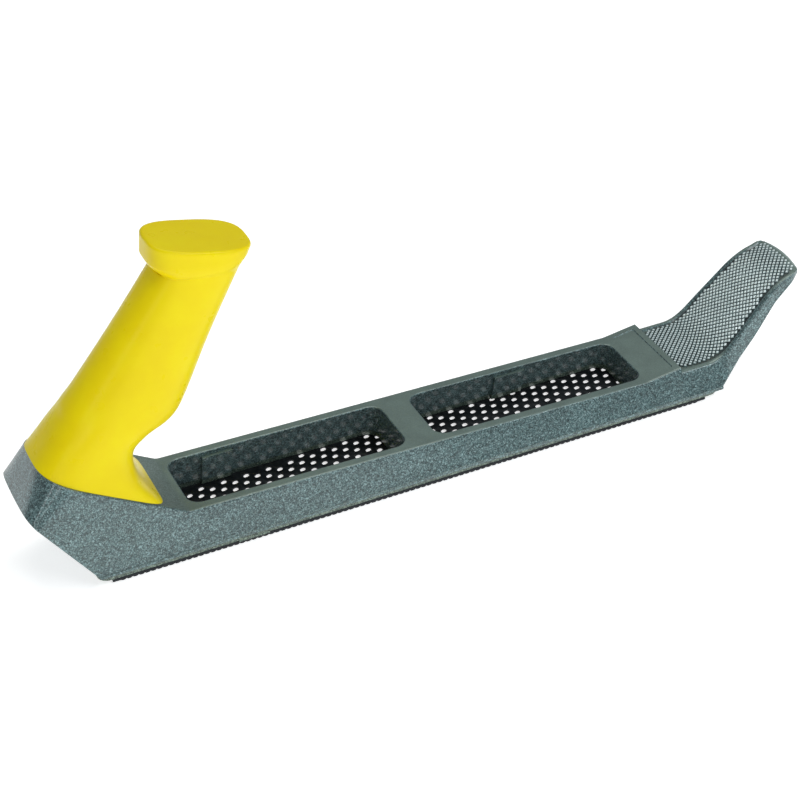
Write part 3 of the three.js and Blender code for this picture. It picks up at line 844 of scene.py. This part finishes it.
def make_screw(name, shank, length, head, height, matrix, body, nodes, material):
    screw = loft(name, screw_profile(shank, length, head, height))
    cut(screw, *cross_recess(head, height))
    screw.data.transform(matrix)
    return place(screw, name, body, material, nodes, weighted=False)


def make_washer(name, inner, outer, thickness, matrix, body, nodes, material, opening=0.0):
    """A flat washer with softened edges; an opening in degrees makes it an open ring."""
    soft = 0.2 * thickness
    profile = [
        (inner, soft), (inner + soft, 0),
        (outer - soft, 0), (outer, soft),
        (outer, thickness - soft), (outer - soft, thickness),
        (inner + soft, thickness), (inner, thickness - soft),
    ]
    count = 48
    rings = []
    span = 2 * math.pi - math.radians(opening)
    for i in range(count + 1 if opening else count):
        angle = math.radians(90 + opening / 2) + span * i / count
        rings.append([(r * math.cos(angle), r * math.sin(angle), z) for r, z in profile])
    if opening:
        washer = loft(name, rings)
    else:
        size = len(profile)
        faces = []
        for i in range(count):
            a, b = i * size, ((i + 1) % count) * size
            faces += [(a + k, a + (k + 1) % size, b + (k + 1) % size, b + k) for k in range(size)]
        washer = face_outwards(new_object(name, [p for ring in rings for p in ring], faces))
    washer.data.transform(matrix)
    return place(washer, name, body, material, nodes, weighted=False)


def screw_axis(x):
    """Turns +Z to +X and stands a shape on the tension screw's axis at x."""
    return Matrix.Translation((x, 0, SCREW_Z)) @ Matrix.Rotation(math.pi / 2, 4, "Y")


def under_seat(x, depth):
    """Places a shape upside down under the seat, with +Z pointing away from it."""
    seat = Matrix.Translation((x, 0, seat_height(x))) @ Matrix.Rotation(SEAT_ANGLE, 4, "Y")
    return seat @ Matrix.Translation((0, 0, -depth)) @ Matrix.Rotation(math.pi, 4, "X")


def make_fittings(material):
    washer, ring, seat_washer = 0.8, 0.6, 1  # thicknesses
    bore = SCREW_R + CLEARANCE
    head_at = TOE_WALL[1] + CLEARANCE + washer + CLEARANCE
    make_screw("adjusting_screw", SCREW_R, 21, 3.5, 2.4, screw_axis(head_at), "screw",
               ["tension_screw"], material)
    make_washer("adjusting_washer", bore, 4.1, washer, screw_axis(TOE_WALL[1] + CLEARANCE), "body",
                ["tension_screw_washer"], material)
    make_washer("snap_ring", bore, 3.3, ring, screw_axis(TOE_WALL[0] - CLEARANCE - ring), "screw",
                ["tension_screw_retaining_ring"], material, opening=36)
    for end, x in zip(("rear", "front"), HANDLE_SCREW_X):
        washer_depth = SEAT_PLATE + CLEARANCE
        head_depth = SEAT_PLATE + 2 * CLEARANCE + seat_washer
        make_washer(f"seat_washer_{end}", 2.5, 5, seat_washer, under_seat(x, washer_depth), "body",
                    [f"handle_washer_{end}"], material)
        make_screw(f"seat_screw_{end}", 2.2, 19, 4.2, 3, under_seat(x, head_depth), "body",
                   [f"handle_screw_{end}"], material)
    face = BLADE_FRONT - EDGE_THICK - CLEARANCE
    block = box((face - 10, face), (-7, 7), (5.0, 10.9))
    join(block, box((face - 2.6, face), (-6, 6), (1.6, 6.1)))
    cut(block, round_rod(bore, face - 20, face + 5))
    bevel = block.modifiers.new("bevel", "BEVEL")
    bevel.width, bevel.segments, bevel.limit_method = 0.35, 2, "ANGLE"
    bake(block)
    place(block, "tension_block", "tensioner", material, ["blade_tensioner"])


# ---- materials ----
class Shader:
    """Builds one material's nodes around its Principled shader."""

    def __init__(self, name):
        self.material = bpy.data.materials.new(name)
        self.material.use_nodes = True
        self.tree = self.material.node_tree
        self.principled = self.tree.nodes["Principled BSDF"]
        self.coords = self.tree.nodes.new("ShaderNodeTexCoord").outputs["Object"]

    def set(self, **values):
        for name, value in values.items():
            self.principled.inputs[name.replace("_", " ")].default_value = value

    def node(self, kind, inputs=(), **settings):
        node = self.tree.nodes.new(kind)
        for name, value in settings.items():
            setattr(node, name, value)
        for key, value in dict(inputs).items():
            if isinstance(value, bpy.types.NodeSocket):
                self.tree.links.new(value, node.inputs[key])
            else:
                node.inputs[key].default_value = value
        return node

    def noise(self, size_mm, detail=2.0, roughness=0.5):
        """Noise whose blotches are about size_mm across, from 0 to 1."""
        inputs = {"Vector": self.coords, "Scale": 1 / (size_mm * MM)}
        inputs.update({"Detail": detail, "Roughness": roughness})
        return self.node("ShaderNodeTexNoise", inputs).outputs["Fac"]

    def cells(self, size_mm):
        """A random value for each grain of about size_mm."""
        inputs = {"Vector": self.coords, "Scale": 1 / (size_mm * MM)}
        colour = self.node("ShaderNodeTexVoronoi", inputs).outputs["Color"]
        return self.node("ShaderNodeSeparateColor", {"Color": colour}).outputs["Red"]

    def ramp(self, factor, stops):
        node = self.node("ShaderNodeValToRGB", {"Fac": factor})
        elements = node.color_ramp.elements
        while len(elements) < len(stops):
            elements.new(0.5)
        for element, (position, colour) in zip(elements, stops):
            element.position = position
            element.color = (*colour, 1)
        return node.outputs["Color"]

    def span(self, value, low, high, start=0.0, end=1.0):
        """value, stretched from start..end to low..high."""
        inputs = {"Value": value, "From Min": start, "From Max": end, "To Min": low, "To Max": high}
        return self.node("ShaderNodeMapRange", inputs).outputs["Result"]

    def multiply(self, colour, factor):
        node = self.node("ShaderNodeVectorMath", {0: colour, 1: factor}, operation="MULTIPLY")
        return node.outputs["Vector"]

    def mix(self, factor, first, second):
        node = self.node("ShaderNodeMix", data_type="RGBA")
        links = self.tree.links
        links.new(factor, node.inputs["Factor"])
        links.new(first, node.inputs["A"])
        links.new(second, node.inputs["B"])
        return node.outputs["Result"]

    def mix_value(self, factor, first, second):
        """first where factor is 0, blending to the number second where it is 1."""
        node = self.node("ShaderNodeMix", {"Factor": factor, "A": first, "B": second}, data_type="FLOAT")
        return node.outputs["Result"]

    def axis(self, space, name):
        """One axis of the surface's own place or normal."""
        source = self.coords.node.outputs[space]
        return self.node("ShaderNodeSeparateXYZ", {"Vector": source}).outputs[name]

    def bump(self, height, depth_mm, strength=1.0, normal=None):
        inputs = {"Height": height, "Distance": depth_mm * MM, "Strength": strength}
        node = self.node("ShaderNodeBump", inputs)
        if normal is not None:
            self.tree.links.new(normal, node.inputs["Normal"])
        return node.outputs["Normal"]

    def connect(self, **sockets):
        for name, socket in sockets.items():
            self.tree.links.new(socket, self.principled.inputs[name.replace("_", " ")])


def hammered_paint():
    """Blue-grey metallic paint over a light alloy casting: fine flakes, a slight pebbled surface."""
    shader = Shader("hammered_paint")
    grain = shader.ramp(shader.noise(0.5, 3, 0.75), [
        (0.34, (0.012, 0.034, 0.036)), (0.5, (0.066, 0.118, 0.12)), (0.66, (0.23, 0.33, 0.335)),
    ])
    # Faces that point up get a calmer olive-grey colour without flakes: the olive tone is a painted
    # reflection on the top faces.
    painted_top_reflection = shader.ramp(shader.noise(0.5, 2), [
        (0.3, (0.125, 0.178, 0.158)), (0.7, (0.16, 0.222, 0.2)),
    ])
    upward = shader.span(shader.axis("Normal", "Z"), 0.0, 1.0, 0.72, 0.93)
    colour = shader.mix(upward, grain, painted_top_reflection)
    flakes = shader.span(shader.cells(0.6), 0.5, 1.6)
    broad = shader.span(shader.noise(9, 3), 0.9, 1.1, 0.3, 0.7)
    colour = shader.multiply(shader.multiply(colour, shader.mix_value(upward, flakes, 1.0)), broad)
    # Below the bead the colour turns warmer and more olive: a painted reflection of the floor on the rail.
    low = shader.span(shader.axis("Object", "Z"), 1.0, 0.0, 0.0036, 0.0044)
    colour = shader.mix(low, colour, shader.multiply(colour, (1.15, 1.0, 0.78)))
    # The knurl: its floor is darkened as painted shade between the pyramids, and the tips turn light as worn
    # bare metal with a painted glint.
    wear_and_shade = shader.node("ShaderNodeAttribute", attribute_name="wear_and_shade").outputs["Fac"]
    rubbed_tips_and_glints = shader.ramp(shader.noise(0.6, 2), [(0.3, (0.6, 0.72, 0.72)), (0.7, (0.9, 1.0, 1.0))])
    colour = shader.multiply(colour, shader.span(wear_and_shade, 0.3, 1.0, -1.0, 0.0))
    colour = shader.mix(shader.span(wear_and_shade, 0.0, 1.0, 0.1, 0.8), colour, rubbed_tips_and_glints)
    height = shader.noise(0.8, 2, 0.6)
    shader.connect(
        Base_Color=colour,
        Roughness=shader.span(shader.noise(0.7, 2), 0.34, 0.56, 0.3, 0.7),
        Normal=shader.bump(height, 0.05, 0.7),
    )
    shader.set(Metallic=0.3, Coat_Weight=0.45, Coat_Roughness=0.12, Coat_IOR=1.7)
    return shader.material


def yellow_moulding():
    """Glossy moulded plastic: an even colour with faint flow marks and a very slight orange peel."""
    shader = Shader("yellow_moulding")
    colour = shader.ramp(shader.noise(14, 3, 0.6), [
        (0.3, (0.82, 0.64, 0.001)), (0.5, (0.84, 0.67, 0.001)), (0.7, (0.85, 0.70, 0.001)),
    ])
    peel = shader.bump(shader.noise(1.1, 2), 0.012, 0.5)
    shader.connect(
        Base_Color=colour,
        Roughness=shader.span(shader.noise(6, 3), 0.26, 0.36, 0.3, 0.7),
        Normal=shader.bump(shader.noise(24, 2), 0.12, 0.4, peel),
    )
    shader.set(
        Specular_IOR_Level=0.2, Subsurface_Weight=0.06, Subsurface_Radius=(0.004, 0.003, 0.0005),
        Subsurface_Scale=1.0,
    )
    return shader.material


def black_steel():
    """Blued sheet steel, nearly black, a little patchy."""
    shader = Shader("black_steel")
    colour = shader.ramp(shader.noise(3, 4, 0.6), [
        (0.3, (0.008, 0.010, 0.013)), (0.6, (0.016, 0.02, 0.024)), (0.8, (0.035, 0.04, 0.042)),
    ])
    shader.connect(
        Base_Color=colour,
        Roughness=shader.span(shader.noise(1.5, 3), 0.35, 0.6, 0.3, 0.7),
        Normal=shader.bump(shader.noise(0.5, 2), 0.02, 0.5),
    )
    shader.set(Metallic=0.5)
    return shader.material


def plated_steel():
    """Zinc-plated steel with a fine crystalline bloom."""
    shader = Shader("plated_steel")
    colour = shader.ramp(shader.noise(1.2, 4, 0.6), [
        (0.3, (0.38, 0.39, 0.38)), (0.5, (0.5, 0.51, 0.5)), (0.75, (0.63, 0.63, 0.6)),
    ])
    shader.connect(
        Base_Color=colour,
        Roughness=shader.span(shader.noise(0.8, 3), 0.24, 0.42, 0.3, 0.7),
        Normal=shader.bump(shader.noise(0.3, 2), 0.01, 0.4),
    )
    shader.set(Metallic=0.95)
    return shader.material


make_camera()
make_stage()
make_casting(hammered_paint())
make_handle(yellow_moulding())
make_blade(black_steel())
make_fittings(plated_steel())
